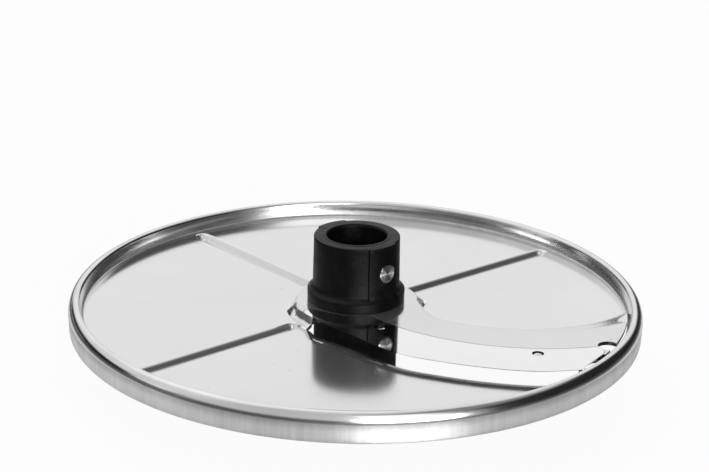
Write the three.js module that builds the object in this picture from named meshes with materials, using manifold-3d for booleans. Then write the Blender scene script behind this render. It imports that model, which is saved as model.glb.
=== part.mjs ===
// Slicing disc of a food processor: a pressed steel plate in a rolled rim, a sickle blade riveted
// to a raised seat, and a moulded hub that a nut clamps through the plate, with a cross pin that
// the machine's shaft turns. Millimetres, +Z up, the origin on the axis at the hub's lower end.
import * as THREE from 'three';
import { mergeVertices } from 'three/addons/utils/BufferGeometryUtils.js';
import Module from 'manifold-3d';

const wasm = await Module();
wasm.setup();

// ---- Driving dimensions ----

// Rim: an inverted channel, whose inner wall carries the plate.
const discRadius = 95;
const rimWidth = 5.1;
const rimCrest = 4.9; // above the plate's top face
const rimDrop = 4.7; // below the plate's top face
const rimLean = 1; // how far the inner wall leans outwards on its way up

// Plate.
const sheet = 1.25;
const plateauHeight = 3.5;
const bossRadius = 20;
const bossSlope = 2;
const seatWallAngles = [212, 235]; // the seat's steep side, from the boss to the blade's root
const seatWallStart = 1.5; // how far outside the boss it starts
const seatFront = 3; // behind the cutting edge

// Long slope behind the blade's seat: its top and foot bow towards the blade.
const slopeTopAngles = [-5, -9.3]; // at the boss and at the rim
const slopeTopBow = [
  [0.04, 6.9],
  [0.09, 12.3],
  [0.16, 15.5],
  [0.25, 17.9],
  [0.48, 18.4],
  [0.75, 13.2],
  [0.88, 7.5],
];
const slopeFootAngles = [0, 1.6];
const slopeFootBow = [
  [0.05, 8],
  [0.14, 12.4],
  [0.26, 15.6],
  [0.4, 17.2],
  [0.51, 17.5],
  [0.64, 16.1],
  [0.76, 13.4],
  [0.88, 8.2],
];

const grooveWidth = 4.6;
const grooveDepth = 1.5;
const grooveStart = 26.5;
const grooveMargin = 5.5; // from a groove's outer end to the rim
const grooveAngles = [39, 131, 221];

// Blade, seen from above: the edge's bow is measured from the straight line between its ends.
const bladeThickness = 1.25;
const bladeBackSag = 11.3; // how far the blade's back bows towards its edge
const bladeBackRootAngle = -75;
const bevelWidth = 3.5;
const bladeOverhang = 8; // from the cutting edge back to the seat's front
const edgeRootRadius = 25;
const edgeRootAngle = -118.9;
const edgeTipAngle = -38.9;
const backCornerAngle = -25.6;
const backCornerInset = 3;
const rootTipRadius = 23;
const rootTipAngle = -131;
const edgeBow = [[0.13, 4.3], [0.26, 9.4], [0.38, 12.9], [0.52, 12.9], [0.7, 11], [0.87, 6.8]];
const rivetRadius = 1.5;
const rivetHeadRadius = 2.6;
const rivetHeadHeight = 1;
const rivetInset = 3.8; // from the blade's back
const rivetSpots = [0.1, 0.73]; // along the blade's back

// Mouth that the slices fall through.
const lipRun = 6.5; // the plate starts to bend down this far in front of the cutting edge
const lipReach = 2; // the bent lip ends this far behind the cutting edge
const lipDrop = 2;
const lipBends = 4;
const notchRadius = 3.4;
const notchInset = 1.5; // its centre's distance inside the blade's end
const notchTurn = 0.8; // degrees past the blade's back corner

// Hub.
const hubAbove = 25.5; // above the plate's top face
const hubBelow = 24; // below the plate's top face
const hubRadius = 14.15;
const collarWidth = 1.85; // how far the collar stands out from the hub
const collarHeight = 3.6;
const collarGap = 1; // from the collar to the blade's back
const boreRadius = 9.7;
const padProud = 0.8;
const padHalfAngle = 26.6;
const spigotInset = 1.9; // from the hub's side
const spigotLength = 12;
const nutWall = 1.65; // round the spigot
const flangeThickness = 3;
const washerThickness = 1.25;
const spannerNotch = 4;
const spannerDepth = 1;
const softEdge = 0.8;
const pinRadius = 3.1;
const pinHeight = 16.3; // above the plate's top face
const pinAngle = -48;
const pinChamfer = 0.5;

// Room between pieces that are fitted into each other, and the round pieces' fineness.
const fitGap = 0.3;
const roundSteps = 72;
const hubSteps = 48;
const smallSteps = 24;

// ---- Places that follow from them (z = 0 is the plate's top face) ----

const rimFoot = discRadius - rimWidth;
const collarRadius = hubRadius + collarWidth;
const spigotRadius = hubRadius - spigotInset;
const nutRadius = spigotRadius + nutWall;
const flangeRadius = collarRadius + collarGap - sheet - fitGap;
const beadInner = rimFoot + rimLean;
const beadRadius = (discRadius - beadInner) / 2;
const beadCentre = discRadius - beadRadius;
const beadZ = rimCrest - beadRadius;
const bladeEndRadius = rimFoot - fitGap;
const seatTop = plateauHeight - bladeThickness - fitGap;
const seatBottom = seatTop - sheet;
const washerTop = plateauHeight - sheet;
const flangeTop = washerTop - washerThickness;
const far = 2 * discRadius; // longer than anything it has to cut

// ---- Helpers ----

const polar = (radius, degrees) => {
  const angle = THREE.MathUtils.degToRad(degrees);
  return new THREE.Vector2(radius * Math.cos(angle), radius * Math.sin(angle));
};

// Points on the circle about the axis from one angle to another.
function ringArc(radius, from, to, steps) {
  const points = [];
  for (let i = 0; i <= steps; i++) points.push(polar(radius, from + ((to - from) * i) / steps));
  return points;
}

// Points on the arc from a to b that bows sag to the right of the way from a to b.
function bowedArc(a, b, sag, steps) {
  const chord = b.clone().sub(a);
  const half = chord.length() / 2;
  const radius = (half * half + sag * sag) / (2 * sag);
  const right = new THREE.Vector2(chord.y, -chord.x).normalize();
  const centre = a.clone().add(b).multiplyScalar(0.5).addScaledVector(right, sag - radius);
  const start = a.clone().sub(centre).angle();
  let sweep = b.clone().sub(centre).angle() - start;
  if (sweep < 0) sweep += 2 * Math.PI;
  const points = [];
  for (let i = 0; i <= steps; i++) {
    const angle = start + (sweep * i) / steps;
    points.push(new THREE.Vector2(Math.cos(angle), Math.sin(angle)).multiplyScalar(radius).add(centre));
  }
  return points;
}

// A smooth curve from a to b through points given as [share of the way, bow to the right].
function bowedCurve(a, b, bows) {
  const chord = b.clone().sub(a);
  const right = new THREE.Vector2(chord.y, -chord.x).normalize();
  const at = ([along, bow]) => {
    const point = a.clone().addScaledVector(chord, along).addScaledVector(right, bow);
    return new THREE.Vector3(point.x, point.y, 0);
  };
  return new THREE.CatmullRomCurve3([[0, 0], ...bows, [1, 0]].map(at), false, 'centripetal');
}

// A manifold-3d solid from a three.js geometry, with its faces turned outwards.
function solid(geometry) {
  const bare = geometry.clone();
  bare.deleteAttribute('normal');
  bare.deleteAttribute('uv');
  const merged = mergeVertices(bare, 1e-4);
  const vertices = merged.getAttribute('position').array;
  const faces = Array.from(merged.index.array);
  let volume = 0;
  const corner = (i) => new THREE.Vector3().fromArray(vertices, 3 * faces[i]);
  for (let i = 0; i < faces.length; i += 3) volume += corner(i).dot(corner(i + 1).cross(corner(i + 2)));
  const outward = volume > 0 ? faces : faces.reverse();
  const mesh = new wasm.Mesh({
    numProp: 3,
    vertProperties: new Float32Array(vertices),
    triVerts: new Uint32Array(outward),
  });
  return new wasm.Manifold(mesh);
}

// A body of revolution about Z from a closed profile of [radius, z] points.
function turned(profile, steps = roundSteps) {
  const points = profile.map(([radius, z]) => new THREE.Vector2(radius, z));
  const onAxis = profile[0][0] === 0 && profile[profile.length - 1][0] === 0;
  if (!onAxis) points.push(points[0].clone());
  return solid(new THREE.LatheGeometry(points, steps).rotateX(Math.PI / 2));
}

const disc = (radius, low, high, steps = roundSteps) =>
  turned([[0, low], [radius, low], [radius, high], [0, high]], steps);

// A body between two outlines with the same number of points, counter-clockwise from above.
function lofted(lower, upper, low, high) {
  const count = lower.length;
  const positions = [];
  for (const point of lower) positions.push(point.x, point.y, low);
  for (const point of upper) positions.push(point.x, point.y, high);
  const index = [];
  for (let i = 0; i < count; i++) {
    const j = (i + 1) % count;
    index.push(i, j, count + j, i, count + j, count + i);
  }
  for (const [a, b, c] of THREE.ShapeUtils.triangulateShape(upper, [])) {
    index.push(count + a, count + b, count + c);
  }
  for (const [a, b, c] of THREE.ShapeUtils.triangulateShape(lower, [])) index.push(c, b, a);
  const geometry = new THREE.BufferGeometry();
  geometry.setAttribute('position', new THREE.Float32BufferAttribute(positions, 3));
  geometry.setIndex(index);
  return solid(geometry);
}

const prism = (outline, low, high) => lofted(outline, outline, low, high);

// A solid strip whose cross-section, a ring of points, is repeated at each station along it.
function ribbon(stations) {
  const count = stations[0].length;
  const index = [];
  for (let s = 0; s + 1 < stations.length; s++) {
    for (let i = 0; i < count; i++) {
      const j = (i + 1) % count;
      const [a, b, c, d] = [s * count + i, s * count + j, (s + 1) * count + j, (s + 1) * count + i];
      index.push(a, b, c, a, c, d);
    }
  }
  const last = (stations.length - 1) * count;
  for (let i = 0; i + 1 < count / 2; i++) {
    const [a, b, c, d] = [i, i + 1, count - 2 - i, count - 1 - i];
    index.push(a, c, b, a, d, c);
    index.push(last + a, last + b, last + c, last + a, last + c, last + d);
  }
  const positions = stations.flat().flatMap((point) => point.toArray());
  const geometry = new THREE.BufferGeometry();
  geometry.setAttribute('position', new THREE.Float32BufferAttribute(positions, 3));
  geometry.setIndex(index);
  return solid(geometry);
}

// ---- Blade outline ----

const edgeRoot = polar(edgeRootRadius, edgeRootAngle);
const edgeTip = polar(bladeEndRadius, edgeTipAngle);

const cuttingEdge = bowedCurve(edgeRoot, edgeTip, edgeBow);

// The point at a share of the cutting edge's length, moved back from the edge (or forward if < 0).
function edgePoint(share, back) {
  const point = cuttingEdge.getPointAt(share);
  const way = cuttingEdge.getTangentAt(share);
  return new THREE.Vector2(point.x - way.y * back, point.y + way.x * back);
}

// A row of such points; the way round is set by the order of from and to.
function edgeRow(from, to, back, steps) {
  const points = [];
  for (let i = 0; i <= steps; i++) points.push(edgePoint(from + ((to - from) * i) / steps, back));
  return points;
}

// The blade's back is an arc from the collar to the back corner, moved out from the blade by room.
function bladeBack(room, steps) {
  const root = polar(collarRadius + collarGap - room, bladeBackRootAngle + room);
  const corner = polar(bladeEndRadius - backCornerInset, backCornerAngle + room);
  return bowedArc(root, corner, bladeBackSag - room / 2, steps);
}

// The blade's outline grown by room on every side; its edge is drawn back by bevel.
function bladeOutline(room, bevel) {
  return [
    ...edgeRow(0, 1, bevel - room, 32),
    polar(bladeEndRadius + room, (edgeTipAngle + 3 * backCornerAngle) / 4),
    ...bladeBack(room, 18).reverse(),
    ...ringArc(collarRadius + collarGap - room, bladeBackRootAngle - 5, rootTipAngle - 5, 6),
    polar(rootTipRadius + room, rootTipAngle - 4 - room),
    polar(rootTipRadius + 1 + room - bevel / 2, rootTipAngle + 5),
  ];
}

const rivetPoints = rivetSpots.map((share) => {
  const back = bladeBack(0, 100);
  const spot = back[Math.round(100 * share)];
  const way = back[Math.round(100 * share) + 1].clone().sub(spot).normalize();
  return new THREE.Vector2(spot.x + way.y * rivetInset, spot.y - way.x * rivetInset);
});

// ---- Pieces ----

function rimRing() {
  const arc = (radius, from, to, steps) => {
    const points = [];
    for (let i = 0; i <= steps; i++) {
      const angle = from + ((to - from) * i) / steps;
      points.push([beadCentre + radius * Math.cos(angle), beadZ + radius * Math.sin(angle)]);
    }
    return points;
  };
  return turned([
    [rimFoot, -sheet],
    [rimFoot, 0],
    ...arc(beadRadius, Math.PI, 0, 8),
    [discRadius, -rimDrop],
    [discRadius - sheet, -rimDrop],
    ...arc(beadRadius - sheet, 0, Math.PI, 4),
    [rimFoot + sheet, -sheet],
  ]);
}

// The room inside the rim's inner wall, which trims the plate.
function insideRim() {
  return turned([
    [0, -far],
    [rimFoot - fitGap, -far],
    [rimFoot - fitGap, 0],
    [beadInner - fitGap, beadZ],
    [beadInner - fitGap, far],
    [0, far],
  ]);
}

// The raised part: a boss round the hub, joined to the blade's seat, which runs out to the rim and
// slopes down behind. Lowered by drop and drawn in by shrink, it is the hollow under itself.
function plateau(drop, shrink) {
  const bossTop = bossRadius - shrink;
  const bossFoot = bossTop + bossSlope;
  const top = plateauHeight - drop;
  const boss = turned([
    [0, -drop - sheet],
    [bossFoot, -drop - sheet],
    [bossFoot, -drop],
    [bossTop, top],
    [0, top],
  ]);
  const steps = 24;
  const slopeEdge = (radii, angles, bows) =>
    bowedCurve(polar(radii[0], angles[0]), polar(radii[1], angles[1]), bows)
      .getSpacedPoints(steps)
      .reverse()
      .map((point) => new THREE.Vector2(point.x, point.y));
  const wall = (room) => [
    polar(bossTop + seatWallStart + room, seatWallAngles[0]),
    polar(edgeRootRadius - shrink + room, seatWallAngles[1]),
  ];
  const shared = [...edgeRow(0, 1, seatFront, steps), ...ringArc(rimFoot + rimLean, -36, -12, 8)];
  const inside = polar(bossRadius / 2, 90);
  const upper = [
    ...wall(0),
    ...shared,
    ...slopeEdge([bossTop, rimFoot + rimLean], slopeTopAngles, slopeTopBow),
    inside,
  ];
  const lower = [
    ...wall(bossSlope / 3),
    ...shared,
    ...slopeEdge([bossFoot, rimFoot + rimLean], slopeFootAngles, slopeFootBow),
    inside,
  ];
  return boss.add(lofted(lower, upper, -drop - sheet / 4, top));
}

// A round-ended bar lying along a radius.
function radialBar(angle, halfWidth, low, high) {
  const inner = grooveStart;
  const outer = rimFoot - grooveMargin;
  const points = [];
  for (let i = 0; i <= 8; i++) {
    const turn = -Math.PI / 2 + (Math.PI * i) / 8;
    points.push(new THREE.Vector2(outer + halfWidth * Math.cos(turn), halfWidth * Math.sin(turn)));
  }
  for (let i = 0; i <= 8; i++) {
    const turn = Math.PI / 2 + (Math.PI * i) / 8;
    points.push(new THREE.Vector2(inner + halfWidth * Math.cos(turn), halfWidth * Math.sin(turn)));
  }
  const turnBy = THREE.MathUtils.degToRad(angle);
  return prism(points.map((point) => point.rotateAround(new THREE.Vector2(), turnBy)), low, high);
}

// The plate bends down in front of the blade, so that its lip ends under the cutting edge.
function lip() {
  const stations = [];
  for (let i = 0; i <= 32; i++) {
    const ring = [];
    for (let k = 0; k <= lipBends; k++) {
      const share = k / lipBends;
      const point = edgePoint(i / 32, -lipRun + (lipRun + lipReach) * share);
      ring.push(new THREE.Vector3(point.x, point.y, -lipDrop * share * share));
    }
    const under = ring.map((point) => point.clone().setZ(point.z - sheet)).reverse();
    stations.push([...ring, ...under]);
  }
  return ribbon(stations);
}

// The opening under the blade, with a rounded notch at the blade's back corner.
function mouth() {
  const outline = [
    ...edgeRow(0, 1, -lipRun + sheet / 2, 32),
    polar(discRadius, edgeTipAngle),
    polar(discRadius, backCornerAngle),
    ...edgeRow(0.97, 0, bladeOverhang, 28),
  ];
  const notch = disc(notchRadius, -far, far, smallSteps);
  const spot = polar(bladeEndRadius - notchInset, backCornerAngle + notchTurn);
  return prism(outline, -far, far)
    .add(notch.translate([spot.x, spot.y, 0]))
    .subtract(disc(bossRadius + 0.5, -far, far));
}

function discPlate() {
  let plate = disc(rimFoot + 1, -sheet, 0).add(plateau(0, 0));
  plate = plate.subtract(plateau(sheet, sheet * 0.6));
  plate = plate.add(prism(bladeOutline(sheet, 0), seatBottom, plateauHeight - sheet / 2));
  plate = plate.subtract(prism(bladeOutline(fitGap, 0), seatTop, far));
  plate = plate.subtract(mouth()).add(lip().subtract(disc(bossRadius + 0.5, -far, far)));
  for (const angle of grooveAngles) {
    plate = plate.add(radialBar(angle, grooveWidth / 2 + sheet / 2, -grooveDepth - sheet, -sheet / 2));
    plate = plate.subtract(radialBar(angle, grooveWidth / 2, -grooveDepth, far));
  }
  for (const spot of rivetPoints) {
    plate = plate.subtract(disc(rivetRadius + fitGap, -far, far, smallSteps).translate([spot.x, spot.y, 0]));
  }
  return plate.subtract(disc(spigotRadius + fitGap, -far, far, hubSteps)).intersect(insideRim());
}

// The edge is ground from below, so the underside starts further back than the top.
function slicingBlade() {
  const bottom = plateauHeight - bladeThickness;
  let blade = lofted(bladeOutline(0, bevelWidth), bladeOutline(0, 0), bottom, plateauHeight);
  for (const spot of rivetPoints) {
    blade = blade.subtract(disc(rivetRadius + fitGap, -far, far, smallSteps).translate([spot.x, spot.y, 0]));
  }
  return blade;
}

// A flush rivet, with the head that is formed under the seat.
function bladeRivet(spot) {
  const under = seatBottom - fitGap;
  const rivet = turned([
    [0, under - rivetHeadHeight],
    [rivetHeadRadius * 0.6, under - rivetHeadHeight],
    [rivetHeadRadius, under - rivetHeadHeight / 2],
    [rivetHeadRadius, under],
    [rivetRadius, under],
    [rivetRadius, plateauHeight],
    [0, plateauHeight],
  ], smallSteps);
  return rivet.translate([spot.x, spot.y, 0]);
}

function pinBody(radius, length) {
  const rod = turned([
    [0, -length / 2],
    [radius - pinChamfer, -length / 2],
    [radius, -length / 2 + pinChamfer],
    [radius, length / 2 - pinChamfer],
    [radius - pinChamfer, length / 2],
    [0, length / 2],
  ], smallSteps);
  return rod.rotate([0, 90, pinAngle]).translate([0, 0, pinHeight]);
}

function hubBody() {
  const shoulder = plateauHeight + collarHeight;
  const body = turned([
    [boreRadius, plateauHeight - spigotLength],
    [spigotRadius, plateauHeight - spigotLength],
    [spigotRadius, plateauHeight],
    [collarRadius, plateauHeight],
    [collarRadius, shoulder - softEdge],
    [collarRadius - softEdge, shoulder],
    [hubRadius, shoulder],
    [hubRadius, hubAbove - softEdge],
    [hubRadius - softEdge, hubAbove],
    [boreRadius + softEdge, hubAbove],
    [boreRadius, hubAbove - softEdge],
  ], hubSteps);
  const outer = hubRadius + padProud;
  const inner = (boreRadius + hubRadius) / 2;
  const pads = [pinAngle, pinAngle + 180].map((middle) =>
    prism(
      [
        ...ringArc(outer, middle - padHalfAngle, middle + padHalfAngle, 12),
        ...ringArc(inner, middle + padHalfAngle, middle - padHalfAngle, 12),
      ],
      shoulder - softEdge,
      hubAbove - softEdge,
    ),
  );
  return body.add(pads[0]).add(pads[1]).subtract(pinBody(pinRadius + fitGap, far));
}

// The lower barrel: a sleeve nut that screws onto the hub's spigot and clamps the plate.
function hubNut() {
  const socketEnd = plateauHeight - spigotLength - fitGap;
  let nut = turned([
    [boreRadius, -hubBelow],
    [nutRadius - softEdge, -hubBelow],
    [nutRadius, softEdge - hubBelow],
    [nutRadius, flangeTop - flangeThickness],
    [flangeRadius, flangeTop - flangeThickness],
    [flangeRadius, flangeTop],
    [spigotRadius + fitGap, flangeTop],
    [spigotRadius + fitGap, socketEnd],
    [boreRadius, socketEnd],
  ], hubSteps);
  for (const angle of [0, 90, 180, 270]) {
    const size = [2 * spannerDepth, spannerNotch, 2 * flangeThickness + 1];
    const notch = solid(new THREE.BoxGeometry(...size));
    const spot = polar(flangeRadius, angle);
    nut = nut.subtract(notch.rotate([0, 0, angle]).translate([spot.x, spot.y, flangeTop]));
  }
  return nut;
}

function clampWasher() {
  const inner = spigotRadius + fitGap;
  return turned([
    [inner, flangeTop],
    [flangeRadius, flangeTop],
    [flangeRadius, washerTop],
    [inner, washerTop],
  ], hubSteps);
}

// ---- Assembly ----

const pressedSteel = new THREE.MeshStandardMaterial({ color: 0xc9cac8, roughness: 0.38, metalness: 1 });
const rolledSteel = new THREE.MeshStandardMaterial({ color: 0xbfc0be, roughness: 0.3, metalness: 1 });
const bladeSteel = new THREE.MeshStandardMaterial({ color: 0xe2e3e2, roughness: 0.08, metalness: 1 });
const pinSteel = new THREE.MeshStandardMaterial({ color: 0xb5b5b2, roughness: 0.3, metalness: 1 });
const blackNylon = new THREE.MeshStandardMaterial({ color: 0x18191a, roughness: 0.42, metalness: 0 });

const slicingDisc = new THREE.Group();
slicingDisc.name = 'slicing_disc';
slicingDisc.position.z = hubBelow;

function addPiece(name, body, material) {
  const mesh = body.getMesh();
  const geometry = new THREE.BufferGeometry();
  const positions = new Float32Array(mesh.vertProperties);
  geometry.setAttribute('position', new THREE.BufferAttribute(positions, 3));
  geometry.setIndex(new THREE.BufferAttribute(new Uint32Array(mesh.triVerts), 1));
  geometry.computeVertexNormals();
  const piece = new THREE.Mesh(geometry, material);
  piece.name = name;
  slicingDisc.add(piece);
}

addPiece('rim_ring', rimRing(), rolledSteel);
addPiece('disc_plate', discPlate(), pressedSteel);
addPiece('slicing_blade', slicingBlade(), bladeSteel);
rivetPoints.forEach((spot, i) => addPiece(`blade_rivet_${i + 1}`, bladeRivet(spot), pinSteel));
addPiece('hub_body', hubBody(), blackNylon);
addPiece('hub_nut', hubNut(), blackNylon);
addPiece('clamp_washer', clampWasher(), pressedSteel);
addPiece('drive_pin', pinBody(pinRadius, 2 * (hubRadius + padProud)), pinSteel);

export default slicingDisc;
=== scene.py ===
"""Slicing disc of a food processor: fine meshes, materials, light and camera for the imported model.

Lengths are in millimetres in the disc's own frame (axis at x = y = 0, z = 0 at the plate's top
face) until a mesh is made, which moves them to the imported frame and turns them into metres.
Angles are in degrees from +X, counter-clockwise as seen from above.
"""
import math

import bmesh
import bpy
import numpy as np
from mathutils import Matrix, Vector
from mathutils.geometry import delaunay_2d_cdt


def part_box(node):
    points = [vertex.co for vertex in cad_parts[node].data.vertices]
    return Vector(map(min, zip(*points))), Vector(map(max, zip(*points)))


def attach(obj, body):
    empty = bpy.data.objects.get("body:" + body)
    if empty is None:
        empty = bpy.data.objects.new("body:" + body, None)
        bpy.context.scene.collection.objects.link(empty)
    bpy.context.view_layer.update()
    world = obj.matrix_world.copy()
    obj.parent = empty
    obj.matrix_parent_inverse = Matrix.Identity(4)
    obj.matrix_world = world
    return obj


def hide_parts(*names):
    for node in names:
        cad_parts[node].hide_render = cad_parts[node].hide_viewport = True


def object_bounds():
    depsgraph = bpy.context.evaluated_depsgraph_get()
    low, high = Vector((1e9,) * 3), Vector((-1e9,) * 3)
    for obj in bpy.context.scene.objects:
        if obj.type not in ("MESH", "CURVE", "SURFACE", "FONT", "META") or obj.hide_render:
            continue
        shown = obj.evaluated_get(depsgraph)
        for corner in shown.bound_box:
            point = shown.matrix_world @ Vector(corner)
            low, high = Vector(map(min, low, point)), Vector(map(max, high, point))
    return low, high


MM = 0.001
BODY = "root"

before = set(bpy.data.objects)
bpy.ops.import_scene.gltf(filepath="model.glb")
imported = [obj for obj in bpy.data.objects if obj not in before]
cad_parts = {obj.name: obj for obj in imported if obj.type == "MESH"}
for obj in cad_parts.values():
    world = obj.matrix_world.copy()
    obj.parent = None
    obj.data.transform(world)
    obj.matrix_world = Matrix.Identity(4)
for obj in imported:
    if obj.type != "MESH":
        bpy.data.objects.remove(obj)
cad_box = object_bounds()

# ---- Dimensions ----

SHEET = 1.25
TOUCH = 0.02  # the hair's gap or overlap of pieces that touch

RIM_CREST = 4.9
PLATE_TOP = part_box("rim_ring")[1].z / MM - RIM_CREST  # height of the plate's top face in the frame
DISC_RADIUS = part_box("rim_ring")[1].x / MM
RIM_DROP = 4.7
RIM_WIDTH = 5.1
RIM_LEAN = 1.2
RIM_FOOT = DISC_RADIUS - RIM_WIDTH
RIM_FILLET = 0.6
RIM_ROUND = (2.7, 3.9)  # how far the rounding reaches inwards and down
RIM_INNER_ROUND = 1.2

PLATEAU = 3.5
PRESSED_ROUND = 0.22  # how far a pressed slope's ends are rounded
ROUND_SHARES = (0.02, 0.45)  # the least and the most of the slope that this may take
BEYOND = RIM_FOOT + 3  # the raised part's outlines run on past the plate's edge
BOSS_RADIUS = 20.3
BOSS_RUN = 2.2
BOSS_TURNS = [0, 7, 16, 28, 42, 184, 192, 200, 207]  # the angles that the next two lists are for
BOSS_RADII = [20.3, 20.1, 19.8, 19.5, 19.3, 19.3, 19.9, 20.5, 21.6]
BOSS_RUNS = [2.2, 3.6, 4.2, 3, 1.9, 1.9, 3.6, 3.2, 2.6]
WALL_TOP = ((22.2, 211.6), (23.4, 233.3))
WALL_RUN = 3.2  # the wall's steep face and the soft ramp at its foot
WALL_FACE = 0.65
WALL_FOOT = 1  # how high up the ramp starts
WALL_ANGLES = (200, 255)  # between these the wall takes the place of the plain slope
WALL_BLEND = 9
GROOVES = ((39.9, 24.8), (131, 25.5), (221, 27))  # angle and inner end
GROOVE_HALF = 3.1
GROOVE_BOTTOM = 1.05
GROOVE_DEPTH = 1.75
GROOVE_END = RIM_FOOT - 4.5
# The long slope's top edge and its foot: where each starts at the boss and ends at the rim, and
# the bows between.
SLOPE_TOP = (-5, -9.3, [
    (0.04, 6.9), (0.09, 12.3), (0.16, 15.5), (0.25, 17.9), (0.48, 18.4), (0.75, 13.2), (0.88, 7.5),
])
SLOPE_FOOT = (0, 1.6, [
    (0.05, 8), (0.14, 12.4), (0.26, 15.6), (0.4, 17.2), (0.51, 17.5), (0.64, 16.1), (0.76, 13.4),
    (0.88, 8.2),
])

BLADE_THICKNESS = 1.25
BLADE_ROUND = 0.06
BEVEL_WIDTH = 2.4
EDGE_ROOT = (25, -118.9)
EDGE_TIP = (RIM_FOOT - 0.3, -38.9)
EDGE_BOW = [(0.13, 4.3), (0.26, 9.4), (0.38, 12.9), (0.52, 12.9), (0.7, 11), (0.87, 6.8)]
EDGE_STEPS = 150
BLADE_BACK_SAG = 11.3
BLADE_BACK_STEPS = 100
BLADE_BACK_ROOT = (17, -75)
BLADE_CORNER = (RIM_FOOT - 3.3, -25.6)
BLADE_END = (RIM_FOOT - 0.6, -28.6)
# The blade's rounded root: radius and angle, then how it widens outwards and round, and how far
# the bevel draws it in.
ROOT_TIP = [
    (17.6, -132, -1, 0, 0),
    (19, -143, -0.5, 2, 0),
    (21.9, -142, 1, 2, 0),
    (22.8, -134, 1, 0, 0.1),
    (23.5, -126.3, 1, 0, 0.5),
]
ROOT_ROUNDS = (1, 1.5, 1.5, 1.5, 1)
RIVET_SPOTS = (0.11, 0.74)
RIVET_INSET = 3.8
RIVET_RADIUS = 1.6
RIVET_HOLE = RIVET_RADIUS + 0.3
SEAT_FRONT = 8  # behind the cutting edge
SEAT_GAP = 0.12  # round the blade
SEAT_LINES = (0.07, 0.17)  # the mesh's lines at both sides of the seat's edge
LIP_RUN = 6.5  # in front of the cutting edge
LIP_REACH = 2.5  # behind the cutting edge
LIP_DROP = 2.5
LIP_FLAT = 0.4  # how much of the run stays flat
LIP_CURVE = 1.8  # the power that the bend grows by
LIP_FADE = 3  # the bend grows over this length from the mouth's corner
# Beside the blade's root the bend starts sooner: by how much, up to which x, and how fast it fades.
LIP_ADVANCE, LIP_ADVANCE_X, LIP_ADVANCE_RUN = 1.7, -12, 20
# The mouth's cut beside the blade's root: under the blade, at the wall's end, at its foot, and on.
MOUTH_ROOT = np.array([(-12.6, -17.2), (-14.15, -19.2), (-15.9, -20.35), (-14.2, -20.35), (-12.6, -20.7)])
# Small dents: where, radius and height.
DENTS = [((22.3, 5.2), 2.7, -1.1), ((-20.7, 8.6), 1.3, 0.5), ((-22.3, 6.4), 0.9, -0.25)]
NOTCH = (RIM_FOOT - 1.6, -24.8)
NOTCH_RADIUS = 3.4

MESH_STEP = 1.3  # the plate's mesh away from its lines
ROW_SHARE = 0.866  # its rows are this much closer than its points
MESH_GAP = 0.35  # no such point is nearer to a line
FINE_STEP = 0.45
FINE_SPOTS = [((-20.5, -17.5), 7), ((21, 4), 4.5)]  # where the plate's mesh is finer, and how far

HUB_TOP = 25.5
HUB_RADIUS = 14.2
HUB_TAPER = 0.012
COLLAR_RADIUS = 16.15
COLLAR_TOP = 7.1
SHOULDER = 2.4  # the height of the curve from the collar to the barrel
BORE_RADIUS = 9.7
PAD_PROUD = 0.75
PAD_MIDDLE = -51.8
PAD_HALF = 21.7
PAD_SIDE = 0.6  # the angle that the pad's side takes
PIN_ANGLE = -48
PIN_RADIUS = 3.1
PIN_HEIGHT = 16.3
PIN_RINGS = 9
PIN_RING_HEIGHT = 0.03
SPIGOT_RADIUS = 12.25
SPIGOT_END = -8.5
HOLE_RADIUS = SPIGOT_RADIUS + 0.1  # of what sits round the spigot
NUT_RADIUS = 13.9
FLANGE_RADIUS = 15.3
WASHER_TOP = PLATEAU - SHEET
FLANGE_TOP = WASHER_TOP - 1.25
FLANGE_FOOT = FLANGE_TOP - 3
NUT_END = -PLATE_TOP


# ---- Plane curves, as arrays of points ----

def polar(radius, degrees):
    """The point at this radius and angle."""
    angle = math.radians(degrees)
    return np.array([radius * math.cos(angle), radius * math.sin(angle)])


def ring_arc(radius, start, end, steps, centre=(0, 0)):
    """Points along a circle's arc."""
    angles = np.radians(np.linspace(start, end, steps + 1))
    return np.column_stack([radius * np.cos(angles), radius * np.sin(angles)]) + centre


def respaced(points, steps):
    """The polyline's own path, cut into equal steps."""
    run = np.concatenate([[0], np.cumsum(np.linalg.norm(np.diff(points, axis=0), axis=1))])
    at = np.linspace(0, run[-1], steps + 1)
    return np.column_stack([np.interp(at, run, points[:, 0]), np.interp(at, run, points[:, 1])])


def bowed_curve(a, b, bows, steps):
    """A centripetal Catmull-Rom curve from a to b, through [share of the way, bow to the right]."""
    chord = b - a
    right = np.array([chord[1], -chord[0]]) / np.linalg.norm(chord)
    knots = [a] + [a + chord * along + right * bow for along, bow in bows] + [b]
    knots = [2 * knots[0] - knots[1]] + knots + [2 * knots[-1] - knots[-2]]
    fine = []
    for p0, p1, p2, p3 in zip(knots, knots[1:], knots[2:], knots[3:]):
        t0, t1, t2 = (math.sqrt(np.linalg.norm(q - p)) for p, q in ((p0, p1), (p1, p2), (p2, p3)))
        way1 = ((p1 - p0) / t0 - (p2 - p0) / (t0 + t1) + (p2 - p1) / t1) * t1
        way2 = ((p2 - p1) / t1 - (p3 - p1) / (t1 + t2) + (p3 - p2) / t2) * t1
        for t in np.linspace(0, 1, 24, endpoint=False):
            cubic = (2 * p1 - 2 * p2 + way1 + way2) * t**3
            fine.append(cubic + (3 * p2 - 3 * p1 - 2 * way1 - way2) * t**2 + way1 * t + p1)
    return respaced(np.array(fine + [b]), steps)


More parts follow.
